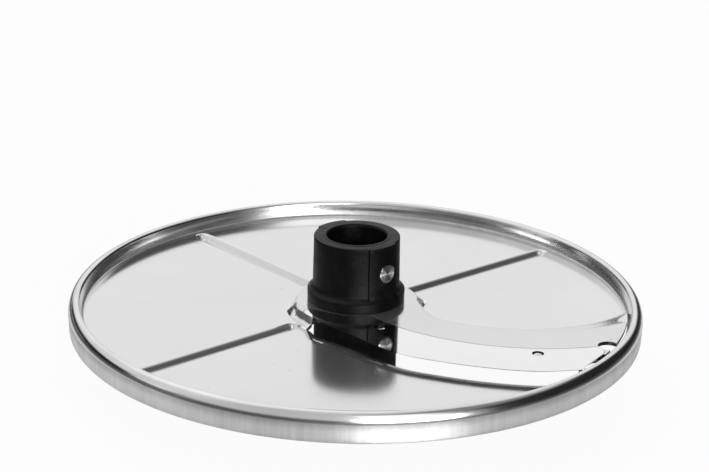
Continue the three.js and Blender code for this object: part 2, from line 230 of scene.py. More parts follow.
def bowed_arc(a, b, sag, steps):
    """An arc from a to b that bows sag to the right of the way from a to b."""
    chord = b - a
    half = np.linalg.norm(chord) / 2
    radius = (half**2 + sag**2) / (2 * sag)
    right = np.array([chord[1], -chord[0]]) / (2 * half)
    centre = (a + b) / 2 + right * (sag - radius)
    start, end = (math.degrees(math.atan2(*(p - centre)[::-1])) for p in (a, b))
    return ring_arc(radius, start, start + (end - start) % 360, steps, centre)


def moved_left(points, distance):
    """Each point moved square to the polyline, to the left of its way."""
    way = np.gradient(points, axis=0)
    way /= np.linalg.norm(way, axis=1)[:, None]
    return points + np.column_stack([-way[:, 1], way[:, 0]]) * distance


def closed(points):
    """The outline with its first point again at its end."""
    return np.vstack([points, points[:1]])


def distance_to(points, line):
    """Each point's distance to a polyline."""
    best = np.full(len(points), np.inf)
    for a, b in zip(line, line[1:]):
        way = b - a
        along = np.clip((points - a) @ way / max(way @ way, 1e-12), 0, 1)
        best = np.minimum(best, np.linalg.norm(points - a - along[:, None] * way, axis=1))
    return best


def within(points, outline):
    """Which points are inside a closed outline."""
    inside = np.zeros(len(points), bool)
    x, y = points.T
    for (ax, ay), (bx, by) in zip(outline, np.roll(outline, -1, axis=0)):
        crosses = (ay > y) != (by > y)
        if ay != by:
            inside ^= crosses & (x < (bx - ax) * (y - ay) / (by - ay) + ax)
    return inside


def rounded(outline, radii, steps=6):
    """The closed outline with each corner replaced by a curve that starts radius away from it."""
    points = []
    count = len(outline)
    for i, corner in enumerate(outline):
        radius = radii[i]
        if radius == 0:
            points.append(corner)
            continue
        before, after = outline[i - 1] - corner, outline[(i + 1) % count] - corner
        start = corner + before * min(radius / np.linalg.norm(before), 0.49)
        end = corner + after * min(radius / np.linalg.norm(after), 0.49)
        for t in np.linspace(0, 1, steps + 1):
            points.append((1 - t) ** 2 * start + 2 * t * (1 - t) * corner + t**2 * end)
    return np.array(points)


# ---- Outlines that the blade, the plate and the mouth share ----

edge = bowed_curve(polar(*EDGE_ROOT), polar(*EDGE_TIP), EDGE_BOW, EDGE_STEPS)
back_ends = (polar(*BLADE_BACK_ROOT), polar(*BLADE_CORNER))
blade_back = bowed_arc(*back_ends, BLADE_BACK_SAG, BLADE_BACK_STEPS)


def blade_outline(grow=0.0, bevel=0.0):
    """Counter-clockwise from the cutting edge's root; grow widens it, bevel draws the edge back."""
    front = moved_left(edge, bevel - grow)
    back = moved_left(blade_back, grow)[::-1]
    hug = ring_arc(BLADE_BACK_ROOT[0] - grow, -80, -124, 11)
    end = polar(BLADE_END[0] + grow, BLADE_END[1])
    tip = [
        polar(radius + grow * out - ground * bevel, angle - grow * turn)
        for radius, angle, out, turn, ground in ROOT_TIP
    ]
    outline = [*front, end, *back, *hug, *tip]
    radii = np.zeros(len(outline))
    radii[len(front)] = 1.5
    radii[len(front) + 1] = 1.2
    radii[-len(ROOT_TIP):] = ROOT_ROUNDS
    return rounded(outline, radii)


def rivet_spots():
    """The rivets' middles, on a line beside the blade's back."""
    inner = moved_left(blade_back, -RIVET_INSET)
    return [inner[round(BLADE_BACK_STEPS * share)] for share in RIVET_SPOTS]


# ---- Mesh helpers ----

def new_object(name, data):
    """An object with this data, linked to the scene."""
    thing = bpy.data.objects.new(name, data)
    bpy.context.scene.collection.objects.link(thing)
    return thing


def shade(mesh, sharp):
    """Smooth shading, but for edges sharper than this many degrees."""
    mesh.shade_smooth()
    mesh.set_sharp_from_angle(angle=math.radians(sharp))


def add_piece(name, vertices, faces, material, slot, nodes, sharp=40):
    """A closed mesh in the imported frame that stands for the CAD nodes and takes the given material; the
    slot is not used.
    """
    placed = (np.asarray(vertices, float) + (0, 0, PLATE_TOP)) * MM
    mesh = bpy.data.meshes.new(name)
    mesh.from_pydata(placed.tolist(), [], [list(map(int, face)) for face in faces])
    work = bmesh.new()
    work.from_mesh(mesh)
    bmesh.ops.remove_doubles(work, verts=work.verts, dist=1e-7)
    bmesh.ops.recalc_face_normals(work, faces=work.faces)
    work.to_mesh(mesh)
    work.free()
    shade(mesh, sharp)
    mesh.materials.append(material)
    piece = new_object(name, mesh)
    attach(piece, BODY)
    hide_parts(*nodes)
    return piece


def section(corners):
    """A turned profile: each (radius, z, rounding) corner is rounded off."""
    return rounded(np.array([c[:2] for c in corners], float), [c[2] for c in corners])


def loop_faces(turns, count, skipped=()):
    """Faces between profiles of count points, closed both along the profile and round the axis."""
    faces = []
    for i in range(turns):
        n = (i + 1) % turns
        for j in range(count):
            k = (j + 1) % count
            if j not in skipped:
                faces.append((i * count + j, n * count + j, n * count + k, i * count + k))
    return faces


def turned(profile, steps=360):
    """Vertices and faces of a closed profile turned about the axis."""
    angles = np.radians(np.arange(steps) * 360 / steps)
    vertices = [(r * math.cos(a), r * math.sin(a), z) for a in angles for r, z in profile]
    count = len(profile)
    on_axis = [j for j in range(count) if profile[j][0] == 0 and profile[(j + 1) % count][0] == 0]
    return vertices, loop_faces(steps, count, on_axis)


def stacked(outlines, heights):
    """Vertices and faces of a body whose outlines, all with the same count, lie one above another."""
    count, last = len(outlines[0]), len(outlines) - 1
    vertices = [(x, y, z) for line, z in zip(outlines, heights) for x, y in line]
    faces = [tuple(range(count))[::-1], tuple(range(last * count, (last + 1) * count))]
    for layer in range(last):
        base = layer * count
        for i in range(count):
            j = (i + 1) % count
            faces.append((base + i, base + j, base + count + j, base + count + i))
    return vertices, faces


# ---- Pressed plate ----

def boss_outline(outwards):
    """The raised part's edge round the hub, from the long slope's start to the seat's steep wall."""
    angles = np.linspace(BOSS_TURNS[0], BOSS_TURNS[-1], 150)
    radii = np.interp(angles, BOSS_TURNS, BOSS_RADII)
    run = np.interp(angles, BOSS_TURNS, BOSS_RUNS) * outwards
    return np.array([polar(radius + out, angle) for radius, out, angle in zip(radii, run, angles)])


def slope_line(share):
    """The long slope's top edge (share 0), its foot (share 1) or a line between them."""
    lines = [
        bowed_curve(polar(BOSS_RADIUS + run, start), polar(BEYOND, end), bows, 120)
        for run, (start, end, bows) in ((0, SLOPE_TOP), (BOSS_RUN, SLOPE_FOOT))
    ]
    return lines[0] + (lines[1] - lines[0]) * share


def wall_line(out):
    """The top edge of the seat's steep wall beside the blade's root, moved outwards."""
    a, b = (polar(*end) for end in WALL_TOP)
    way = (b - a) / np.linalg.norm(b - a)
    return np.array([a, b]) + np.array([way[1], -way[0]]) * out


def plateau_outlines():
    """The outlines of the raised part's top and of its foot."""
    outlines = []
    for share, front in ((0, 3), (1, -1)):
        outlines.append(np.vstack([
            boss_outline(share),
            wall_line(WALL_RUN * share),
            moved_left(edge, front)[3:],
            ring_arc(BEYOND, -38, -4, 20),
            slope_line(share)[::-1][1:],
        ]))
    return outlines


def eased(share, rounding):
    """A straight ramp from 0 to 1 whose two ends are rounded."""
    share = np.clip(share, 0, 1)
    steep = 1 / (1 - rounding)
    low = steep * share**2 / (2 * rounding)
    high = 1 - steep * (1 - share) ** 2 / (2 * rounding)
    middle = steep * (share - rounding / 2)
    return np.where(share < rounding, low, np.where(share > 1 - rounding, high, middle))


def groove_line(angle, start):
    """The groove's middle line between the centres of its round ends."""
    return np.array([polar(start, angle), polar(GROOVE_END, angle)])


def lip_start():
    """The line along which the plate starts to bend down, longer than the blade at its root."""
    line = moved_left(edge, -LIP_RUN)
    return np.vstack([line[0] + (line[0] - line[2]) * 3, line])


def lip_outline():
    """The free end of the bent plate, from the wall's foot to the rim."""
    reach = np.interp(np.linspace(0, 1, len(edge)), [0, 0.12, 1], [1.1, LIP_REACH, LIP_REACH])
    way = moved_left(edge, 1) - edge
    return np.vstack([MOUTH_ROOT[2:], (edge + way * reach[:, None])[2:]])


def wall_heights(to_top):
    """The steep wall and the soft ramp at its foot, by the distance to the raised part's top."""
    steep = PLATEAU - (PLATEAU - WALL_FOOT) * eased(to_top / WALL_FACE, 0.25)
    ramp = WALL_FOOT * (1 - eased((to_top - WALL_FACE) / (WALL_RUN - WALL_FACE), 0.4))
    return np.where(to_top < WALL_FACE, steep, ramp)


def groove_share(points, angle, start):
    """How much of the groove's depth is pressed in at each point: 1 at its bottom, 0 outside."""
    off = distance_to(points, groove_line(angle, start))
    up = np.clip((off - GROOVE_BOTTOM) / (GROOVE_HALF - GROOVE_BOTTOM), 0, 1)
    return 1 - np.where(up < 0.5, up / 0.75, 1 - (1 - up) ** 2 / 0.75)


def lip_zone():
    """The part of the plate that bends down under the cutting edge."""
    front = moved_left(edge, LIP_REACH + 1)[::-1][:-2]
    return np.vstack([lip_start(), front, MOUTH_ROOT[3:1:-1] + (0, TOUCH / 2)])


def lip_bend(points):
    """How far each point of the lip is bent down, a little sooner at the blade's root."""
    x = points[:, 0]
    sooner = LIP_ADVANCE * np.clip(1 - (x - LIP_ADVANCE_X) / LIP_ADVANCE_RUN, 0, 1)
    behind = distance_to(points, lip_start()) + sooner - LIP_FLAT
    bend = np.clip(behind / (LIP_RUN + LIP_REACH - LIP_FLAT), 0, 1.2) ** LIP_CURVE
    bend *= np.clip((x - MOUTH_ROOT[2][0]) / LIP_FADE, 0, 1)
    return LIP_DROP * bend


def plate_heights(points):
    """The height of the plate's top face at each point."""
    top, foot = plateau_outlines()
    in_top, in_foot = within(points, top), within(points, foot)
    to_top = np.where(in_top, 0, distance_to(points, closed(top)))
    to_foot = np.where(in_foot, distance_to(points, closed(foot)), 0)
    run = np.maximum(to_top + to_foot, 1e-6)
    heights = PLATEAU * eased(to_foot / run, np.clip(PRESSED_ROUND / run, *ROUND_SHARES))
    around = np.degrees(np.arctan2(points[:, 1], points[:, 0])) % 360
    share = eased((around - WALL_ANGLES[0]) / WALL_BLEND, 0.4) * (around < WALL_ANGLES[1])
    walled = heights * (1 - share) + wall_heights(to_top) * share
    heights = np.where(in_top, heights, walled)
    for angle, start in GROOVES:
        heights -= GROOVE_DEPTH * groove_share(points, angle, start)
    for (x, y), radius, rise in DENTS:
        near = np.clip(1 - np.linalg.norm(points - (x, y), axis=1) / radius, 0, 1)
        heights += rise * near**2 * (3 - 2 * near)
    bent = np.minimum(heights, 0) - lip_bend(points)
    heights = np.where(within(points, lip_zone()), bent, heights)
    seat = within(points, blade_outline(SEAT_GAP)) & in_top
    return np.where(seat, PLATEAU - BLADE_THICKNESS - TOUCH, heights)


def plate_lines():
    """The lines that the plate's mesh follows."""
    shares = (-0.04, 0, 0.03, 0.07, 0.15, 0.3, 0.5, 0.7, 0.85, 0.93, 0.97, 1, 1.04)
    lines = [slope_line(share) for share in shares]
    lines += [boss_outline(share) for share in np.linspace(-0.1, 1.1, 9)]
    outs = (-0.3, 0, 0.1, 0.2, 0.35, WALL_FACE, 0.8, 1.2, 1.8, 2.5, WALL_RUN)
    lines += [wall_line(out) for out in outs]
    lines += [moved_left(edge, back) for back in np.linspace(-LIP_RUN, LIP_REACH, 16)]
    for angle, start in GROOVES:
        a, b = groove_line(angle, start)
        for half in (0.5, 1, 1.15, 1.6, 1.95, 2.12, 2.3, 2.5, 2.7, 2.9, 3.1, 3.3):
            lines.append(closed(np.vstack([
                ring_arc(half, angle - 90, angle + 90, 12, b),
                ring_arc(half, angle + 90, angle + 270, 12, a),
            ])))
    lines += [closed(blade_outline(grow)) for grow in SEAT_LINES]
    return lines


def mouth_outline():
    """The slicing mouth: the lip's free end, the rim and the front of the blade's seat."""
    return np.vstack([
        MOUTH_ROOT[:2],
        lip_outline(),
        [polar(DISC_RADIUS, EDGE_TIP[1] + 2), polar(DISC_RADIUS, BLADE_CORNER[1])],
        moved_left(edge, SEAT_FRONT)[::-1][4:],
    ])


def grid_points(lines, outer, hole):
    """Points between two radii in shifted rows, clear of the lines, and denser in the fine spots."""
    rows = np.arange(-RIM_FOOT, RIM_FOOT, MESH_STEP * ROW_SHARE)
    row = np.arange(-RIM_FOOT, RIM_FOOT, MESH_STEP)
    grid = np.array([(x + (i % 2) * MESH_STEP / 2, y) for i, y in enumerate(rows) for x in row])
    reach = np.linalg.norm(grid, axis=1)
    grid = grid[(reach < outer - 0.4) & (reach > hole + 0.4)]
    clear = np.full(len(grid), np.inf)
    for line in lines:
        near = (grid > line.min(0) - 1).all(1) & (grid < line.max(0) + 1).all(1)
        clear[near] = np.minimum(clear[near], distance_to(grid[near], line))
    points = list(grid[clear > MESH_GAP])
    for middle, reach in FINE_SPOTS:
        steps = np.arange(-reach, reach, FINE_STEP)
        points += [(middle[0] + x, middle[1] + y) for x in steps for y in steps]
    return points


def triangulated(points, lines):
    """The points and the lines' own points in one flat mesh of triangles that follows the lines."""
    points, edges = list(points), []
    for line in lines:
        base = len(points)
        points.extend(line)
        edges.extend((base + i, base + i + 1) for i in range(len(line) - 1))
    flat, _, triangles, *_ = delaunay_2d_cdt([Vector(p) for p in points], edges, [], 0, 1e-4)
    return np.array([tuple(p) for p in flat]), np.array([tuple(t) for t in triangles])


def sheet_body(flat, triangles, top, below):
    """Vertices and faces of the flat mesh's triangles, given a top, an underside and side walls."""
    count = len(flat)
    vertices = np.vstack([np.column_stack([flat, top]), np.column_stack([flat, below])])
    faces = [tuple(t) for t in triangles] + [tuple(t[::-1] + count) for t in triangles]
    sides = dict.fromkeys(side for a, b, c in triangles for side in ((a, b), (b, c), (c, a)))
    faces += [(b, a, a + count, b + count) for a, b in sides if (b, a) not in sides]
    used = np.unique(np.concatenate([triangles.ravel(), triangles.ravel() + count]))
    index = np.full(2 * count, -1)
    index[used] = np.arange(len(used))
    return vertices[used], [tuple(index[list(face)]) for face in faces]


def disc_plate(material):
    """The pressed plate with its raised part, grooves, lip, mouth and holes."""
    outer, hole, kept_round_hub = RIM_FOOT + TOUCH, HOLE_RADIUS, COLLAR_RADIUS + 1.5
    mouth = mouth_outline()
    notch = ring_arc(NOTCH_RADIUS, 0, 360, 40, polar(*NOTCH))
    rivets = [ring_arc(RIVET_HOLE, 0, 360, 24, spot) for spot in rivet_spots()]
    lines = plate_lines() + [closed(mouth), notch, ring_arc(kept_round_hub, 0, 360, 160)]
    lines += [ring_arc(outer, 0, 360, 720), ring_arc(hole, 0, 360, 120)] + rivets
    flat, triangles = triangulated(grid_points(lines, outer, hole), lines)
    centres = flat[triangles].mean(1)
    reach = np.linalg.norm(centres, axis=1)
    open_mouth = within(centres, mouth) | within(centres, notch)
    kept = (reach < outer) & (reach > hole) & ~(open_mouth & (reach > kept_round_hub))
    for ring in rivets:
        kept &= ~within(centres, ring)
    top = plate_heights(flat)
    under_blade = within(flat, blade_outline(1.2)) & (top > 0)
    below = np.where(under_blade, np.minimum(top, PLATEAU - BLADE_THICKNESS), top) - SHEET
    body = sheet_body(flat, triangles[kept], top, below)
    add_piece("plate", *body, material, "pressed_steel", ["disc_plate"], sharp=35)


# ---- Rim, blade, rivets ----

def rim(material):
    """The rolled channel: fillet, inner wall, bead, skirt, hem, and back along its inside."""
    foot = RIM_FOOT + RIM_LEAN
    round_in, round_down = RIM_ROUND
    outer = np.array([DISC_RADIUS - round_in, RIM_CREST - round_down])
    inner = np.array([foot + RIM_INNER_ROUND, RIM_CREST - RIM_INNER_ROUND])
    hem = (DISC_RADIUS - 0.25 - SHEET / 2, -RIM_DROP + SHEET / 2)
    bead_end = outer[1] - 0.3
    profile = np.vstack([
        [(RIM_FOOT, -SHEET)],
        ring_arc(RIM_FILLET, -90, -14, 12, (RIM_FOOT, RIM_FILLET)),
        [(foot - 0.22, 2.4), (foot - 0.03, 3.3)],
        ring_arc(RIM_INNER_ROUND, 170, 90, 16, inner),
        ring_arc(1, 88, 3, 40) * RIM_ROUND + outer,
        [(DISC_RADIUS - 0.03, bead_end), (DISC_RADIUS - 0.1, -1), (DISC_RADIUS - 0.2, -3.9)],
        ring_arc(SHEET / 2, 0, -180, 10, hem),
        [(DISC_RADIUS - SHEET, bead_end)],
        ring_arc(1, 0, 90, 8) * (round_in - SHEET, round_down - SHEET) + outer,
        [(foot + 1.3, RIM_CREST - SHEET), (RIM_FOOT + SHEET, -SHEET)],
    ])
    add_piece("rim", *turned(profile, 720), material, "rolled_steel", ["rim_ring"])


def blade(material):
    """The blade with its ground bevel, its edges rounded off and a hole for each rivet."""
    bottom, soft, sharp = PLATEAU - BLADE_THICKNESS, BLADE_ROUND, 25
    outlines = [
        blade_outline(-soft, BEVEL_WIDTH),
        blade_outline(0, BEVEL_WIDTH - soft),
        blade_outline(0, soft),
        blade_outline(-soft, 0),
    ]
    body = stacked(outlines, [bottom, bottom + soft, PLATEAU - soft, PLATEAU])
    piece = add_piece("blade", *body, material, "blade_steel", ["slicing_blade"], sharp=sharp)
    for spot in rivet_spots():
        cut_round_hole(piece, spot, RIVET_HOLE)
    shade(piece.data, sharp)


def cut_round_hole(piece, spot, radius):
    """Cuts an upright hole right through the piece's mesh."""
    mesh = bpy.data.meshes.new("hole")
    work = bmesh.new()
    size = {"radius1": radius * MM, "radius2": radius * MM, "depth": 20 * MM}
    bmesh.ops.create_cone(work, segments=32, cap_ends=True, **size)
    middle = (spot[0] * MM, spot[1] * MM, PLATE_TOP * MM)
    bmesh.ops.translate(work, verts=work.verts, vec=middle)
    work.to_mesh(mesh)
    work.free()
    tool = new_object("hole", mesh)
    cut = piece.modifiers.new("hole", "BOOLEAN")
    cut.object = tool
    cut.operation = "DIFFERENCE"
    cut.solver = "EXACT"
    evaluated = piece.evaluated_get(bpy.context.evaluated_depsgraph_get())
    result = bpy.data.meshes.new_from_object(evaluated)
    piece.modifiers.clear()
    old = piece.data
    piece.data = result
    bpy.data.meshes.remove(old)
    bpy.data.objects.remove(tool)


def rivet(number, spot, material):
    """A rivet with a flush upper head and a round lower one."""
    under = PLATEAU - BLADE_THICKNESS - SHEET - 0.05
    profile = section([
        (0, under - 1.1, 0), (1.5, under - 1.05, 0.4), (2.5, under - 0.5, 0.5), (2.6, under, 0.1),
        (RIVET_RADIUS, under, 0), (RIVET_RADIUS, PLATEAU - 0.5, 0.2),
        (RIVET_RADIUS - 0.5, PLATEAU - 0.25, 0.2), (0, PLATEAU - 0.05, 0),
    ])
    vertices, faces = turned(profile, 48)
    vertices = np.asarray(vertices) + (*spot, 0)
    add_piece(f"rivet_{number}", vertices, faces, material, "pin_steel", [f"blade_rivet_{number}"])


# ---- Hub ----

def hub_radius(angle, z):
    """The hub's outer radius above its collar: a cylinder with two raised pads where the pin ends."""
    away = min(abs((angle - PAD_MIDDLE - turn + 180) % 360 - 180) for turn in (0, 180))
    pad = min(max((PAD_HALF + 0.5 - away) / PAD_SIDE, 0), 1)
    radius = HUB_RADIUS + PAD_PROUD * pad + HUB_TAPER * (HUB_TOP - z)
    shoulder = max(0, (COLLAR_TOP + SHOULDER - z) / SHOULDER)
    return min(radius + (COLLAR_RADIUS - radius) * shoulder**2.5, max(COLLAR_RADIUS, radius))


def hub_angles():
    """Even steps round the hub, and closer ones at the pads' sides."""
    turns = np.array([-0.7, -0.1, 0.2, 0.5, 1])
    near = np.concatenate([PAD_HALF + turns, -PAD_HALF - turns])
    steps = [np.arange(0, 360, 1.5)] + [(near + pad) % 360 for pad in (PAD_MIDDLE, PAD_MIDDLE + 180)]
    return np.unique(np.round(np.concatenate(steps) % 360, 3))


def hub(material):
    """Spigot, collar, barrel with its pads, crown and bore."""
    foot = section([
        (BORE_RADIUS, SPIGOT_END, 0.3), (SPIGOT_RADIUS, SPIGOT_END, 0.5), (SPIGOT_RADIUS, PLATEAU, 0),
        (COLLAR_RADIUS - 0.05, PLATEAU, 0.25), (COLLAR_RADIUS, COLLAR_TOP - 0.2, 0.3),
    ])
    shoulder = np.linspace(COLLAR_TOP - 0.1, COLLAR_TOP + 2.6, 15)
    heights = np.concatenate([shoulder, np.linspace(10.5, HUB_TOP - 0.35, 20)])
    crown = section([
        (12.4, HUB_TOP, 0), (11.2, HUB_TOP, 0.1), (11, HUB_TOP + 0.15, 0.12),
        (10.3, HUB_TOP + 0.15, 0.15), (BORE_RADIUS, HUB_TOP - 0.5, 0.3), (BORE_RADIUS, 20, 0),
        (BORE_RADIUS, 8, 0),
    ])
    angles = hub_angles()
    vertices = []
    for angle in angles:
        rows = [(r, z) for r, z in foot] + [(hub_radius(angle, z), z) for z in heights]
        top = hub_radius(angle, HUB_TOP)
        rows += [(top - 0.04, HUB_TOP - 0.18), (top - 0.14, HUB_TOP - 0.05), (top - 0.32, HUB_TOP)]
        rows += [(r, z) for r, z in crown]
        vertices.extend((*polar(r, angle), z) for r, z in rows)
    faces = loop_faces(len(angles), len(rows))
    add_piece("hub", vertices, faces, material, "black_nylon", ["hub_body"], sharp=35)


def nut(material):
    """The barrel under the disc, with a flange and a seat for the spigot."""
    flange_top = FLANGE_TOP - TOUCH
    profile = section([
        (BORE_RADIUS, NUT_END, 0.4), (NUT_RADIUS, NUT_END, 0.8), (NUT_RADIUS, FLANGE_FOOT, 0.4),
        (FLANGE_RADIUS, FLANGE_FOOT, 0.4), (FLANGE_RADIUS, flange_top, 0.3),
        (HOLE_RADIUS, flange_top, 0.3), (HOLE_RADIUS, SPIGOT_END - 0.1, 0),
        (BORE_RADIUS, SPIGOT_END - 0.1, 0.2),
    ])
    add_piece("barrel_nut", *turned(profile, 240), material, "black_nylon", ["hub_nut"])


def washer(material):
    """The steel washer between the nut's flange and the plate."""
    top = WASHER_TOP - TOUCH
    profile = section([
        (HOLE_RADIUS, FLANGE_TOP, 0.1), (FLANGE_RADIUS, FLANGE_TOP, 0.2),
        (FLANGE_RADIUS, top, 0.2), (HOLE_RADIUS, top, 0.1),
    ])
    add_piece("washer", *turned(profile, 180), material, "pressed_steel", ["clamp_washer"])


def pin(material):
    """The cross pin, with rings turned into its ends."""
    half = HUB_RADIUS + PAD_PROUD + 0.4
    steps = PIN_RINGS * 4
    face = [
        ((PIN_RADIUS - 0.35) * i / steps, half + PIN_RING_HEIGHT * math.sin(math.pi * i / 2))
        for i in range(steps + 1)
    ]
    edge_round = [(PIN_RADIUS - 0.2, half - 0.02), (PIN_RADIUS - 0.06, half - 0.1), (PIN_RADIUS, half - 0.5)]
    upper = face + edge_round
    profile = np.array([(r, -z) for r, z in upper] + upper[::-1])
    vertices, faces = turned(profile, 96)
    turn = Matrix.Rotation(math.radians(PIN_ANGLE), 3, "Z") @ Matrix.Rotation(math.radians(90), 3, "Y")
    vertices = [tuple(turn @ Vector(v) + Vector((0, 0, PIN_HEIGHT))) for v in vertices]
    add_piece("pin", vertices, faces, material, "pin_steel", ["drive_pin"])


# ---- Materials ----

class Nodes:
    """A node tree, with short calls to add nodes and link them."""

    def __init__(self, tree):
        self.tree = tree

    def add(self, kind, inputs=None, **settings):
        node = self.tree.nodes.new(kind)
        for key, value in settings.items():
            setattr(node, key, value)
        for key, value in (inputs or {}).items():
            if isinstance(value, bpy.types.NodeSocket):
                self.tree.links.new(value, node.inputs[key])
            else:
                node.inputs[key].default_value = value
        return node

    def place(self):
        """Where the shaded point is, in metres, in the object's own frame."""
        return self.add("ShaderNodeTexCoord").outputs["Object"]

    def noise(self, vector, scale, detail=3.0, roughness=0.5):
        inputs = {"Vector": vector, "Scale": scale, "Detail": detail, "Roughness": roughness}
        return self.add("ShaderNodeTexNoise", inputs).outputs["Fac"]

    def ramp(self, value, low, high, out_low, out_high, kind="LINEAR"):
        """The value moved from one range to another and kept within it."""
        inputs = {"Value": value, "From Min": low, "From Max": high, "To Min": out_low, "To Max": out_high}
        return self.add("ShaderNodeMapRange", inputs, interpolation_type=kind).outputs["Result"]

    def math(self, operation, a, b=0.0):
        return self.add("ShaderNodeMath", {0: a, 1: b}, operation=operation).outputs[0]

    def grey(self, value):
        return self.add("ShaderNodeCombineColor", {0: value, 1: value, 2: value}).outputs[0]

    def bump(self, height, distance, strength=1.0):
        inputs = {"Height": height, "Distance": distance, "Strength": strength}
        return self.add("ShaderNodeBump", inputs).outputs["Normal"]

    def facing(self):
        """How far the face looks up: 1 up, 0 sideways, -1 down."""
        return self.parts(self.add("ShaderNodeNewGeometry").outputs["Normal"])[2]

    def parts(self, vector):
        """The vector's x, y and z."""
        return self.add("ShaderNodeSeparateXYZ", {0: vector}).outputs

    def radius(self, parts):
        """How far the point with these parts is from the disc's axis."""
        squares = [self.math("MULTIPLY", parts[i], parts[i]) for i in (0, 1)]
        return self.math("SQRT", self.math("ADD", *squares))

    def around(self, height_scale=1.0):
        """(arc length, height, radius) round the disc's axis, for streaks on turned faces."""
        parts = self.parts(self.place())
        arc = self.math("MULTIPLY", self.math("ARCTAN2", parts[1], parts[0]), DISC_RADIUS * MM)
        height = self.math("MULTIPLY", parts[2], height_scale)
        return self.add("ShaderNodeCombineXYZ", {0: arc, 1: height, 2: self.radius(parts)}).outputs[0]

    def height_ramp(self, low, high, out_low, out_high):
        """A ramp over the height above the plate's top face, in millimetres."""
        ends = [(PLATE_TOP + height) * MM for height in (low, high)]
        return self.ramp(self.parts(self.place())[2], *ends, out_low, out_high)


class Finish(Nodes):
    """A material's node tree."""

    def __init__(self, name, color, metallic, roughness):
        self.material = bpy.data.materials.new(name)
        self.material.use_nodes = True
        super().__init__(self.material.node_tree)
        self.shader = self.tree.nodes["Principled BSDF"]
        self.shader.inputs["Base Color"].default_value = (*color, 1)
        self.shader.inputs["Metallic"].default_value = metallic
        self.shader.inputs["Roughness"].default_value = roughness

    def link(self, value, socket):
        self.tree.links.new(value, self.shader.inputs[socket])


def pressed_steel():
    """Dull sheet with a few specks; painted shade darkens the upright cut edges and makes the raised part a
    little darker.
    """
    nodes = Finish("pressed_steel", (0.8, 0.8, 0.79), 0.92, 0.13)
    place = nodes.place()
    cloud = nodes.noise(place, 22, 4)
    specks = nodes.ramp(nodes.noise(place, 420, 2, 0.6), 0.71, 0.76, 0, 1)
    tone = nodes.ramp(cloud, 0.3, 0.7, 0.78, 0.83)
    tone = nodes.math("SUBTRACT", tone, nodes.math("MULTIPLY", specks, 0.22))
    # painted shade: the raised part is made a little darker
    tone = nodes.math("SUBTRACT", tone, nodes.height_ramp(2.8, 3.4, 0, 0.05))
    # painted shade: faces that stand upright, the cut edges and the seat's walls, are darkened
    cut_edge_shade = nodes.ramp(nodes.math("ABSOLUTE", nodes.facing()), 0.06, 0.18, 0.12, 1)
    nodes.link(nodes.grey(nodes.math("MULTIPLY", tone, cut_edge_shade)), "Base Color")
    nodes.link(nodes.ramp(cloud, 0.3, 0.7, 0.11, 0.15), "Roughness")
    nodes.link(nodes.bump(nodes.noise(place, 1500, 2), 0.00001, 0.6), "Normal")
    return nodes.material


def rolled_steel():
    """A polished bead above a satin skirt with upright streaks; painted shade darkens the skirt at its
    crease, and it is darker at its hem.
    """
    nodes = Finish("rolled_steel", (0.7, 0.7, 0.69), 1, 0.24)
    streaks = nodes.noise(nodes.around(0.03), 700, 4, 0.6)
    patches = nodes.noise(nodes.around(0.6), 60, 3)
    skirt = nodes.height_ramp(1.8, 1.3, 0, 1)
    satin = nodes.math("MULTIPLY", skirt, nodes.ramp(streaks, 0.3, 0.7, 0.14, 0.22))
    nodes.link(nodes.math("ADD", satin, 0.16), "Roughness")
    # painted shade darkens the skirt below its crease; the hem is made darker too
    crease = nodes.height_ramp(1.3, -1, 0.22, 0)
    hem = nodes.height_ramp(-RIM_DROP, -3, 0.12, 0)
    streaks_crease_shade_and_hem = nodes.math("ADD", nodes.ramp(streaks, 0.3, 0.7, 0.06, 0.16), nodes.math("ADD", crease, hem))
    dark = nodes.math("MULTIPLY", skirt, streaks_crease_shade_and_hem)
    tone = nodes.math("SUBTRACT", nodes.ramp(patches, 0.3, 0.7, 0.72, 0.82), dark)
    nodes.link(nodes.grey(tone), "Base Color")
    nodes.link(nodes.bump(nodes.math("MULTIPLY", streaks, skirt), 0.00002, 0.5), "Normal")
    return nodes.material


def blade_steel():
    """Mirror polish with faint smears; painted shade darkens the ends and the underside, bevel included."""
    nodes = Finish("blade_steel", (0.9, 0.9, 0.9), 1, 0.04)
    place = nodes.place()
    smears = nodes.noise(place, 35, 4)
    nodes.link(nodes.ramp(smears, 0.4, 0.75, 0.025, 0.07), "Roughness")
    # painted shade: all but the faces that look up are darkened, the ends, the bevel and the underside
    underside_shade = nodes.ramp(nodes.facing(), 0.5, 0.85, 0.06, 1)
    tone = nodes.math("MULTIPLY", nodes.ramp(smears, 0.3, 0.7, 0.88, 0.93), underside_shade)
    nodes.link(nodes.grey(tone), "Base Color")
    nodes.link(nodes.bump(nodes.noise(place, 45, 1), 0.00001, 0.3), "Normal")
    return nodes.material


def pin_steel():
    """Turned steel with a fine grain."""
    nodes = Finish("pin_steel", (0.72, 0.72, 0.7), 1, 0.22)
    place = nodes.place()
    nodes.link(nodes.ramp(nodes.noise(place, 900, 3), 0.3, 0.7, 0.12, 0.22), "Roughness")
    nodes.link(nodes.bump(nodes.noise(place, 2500, 2), 0.00001, 0.5), "Normal")
    return nodes.material


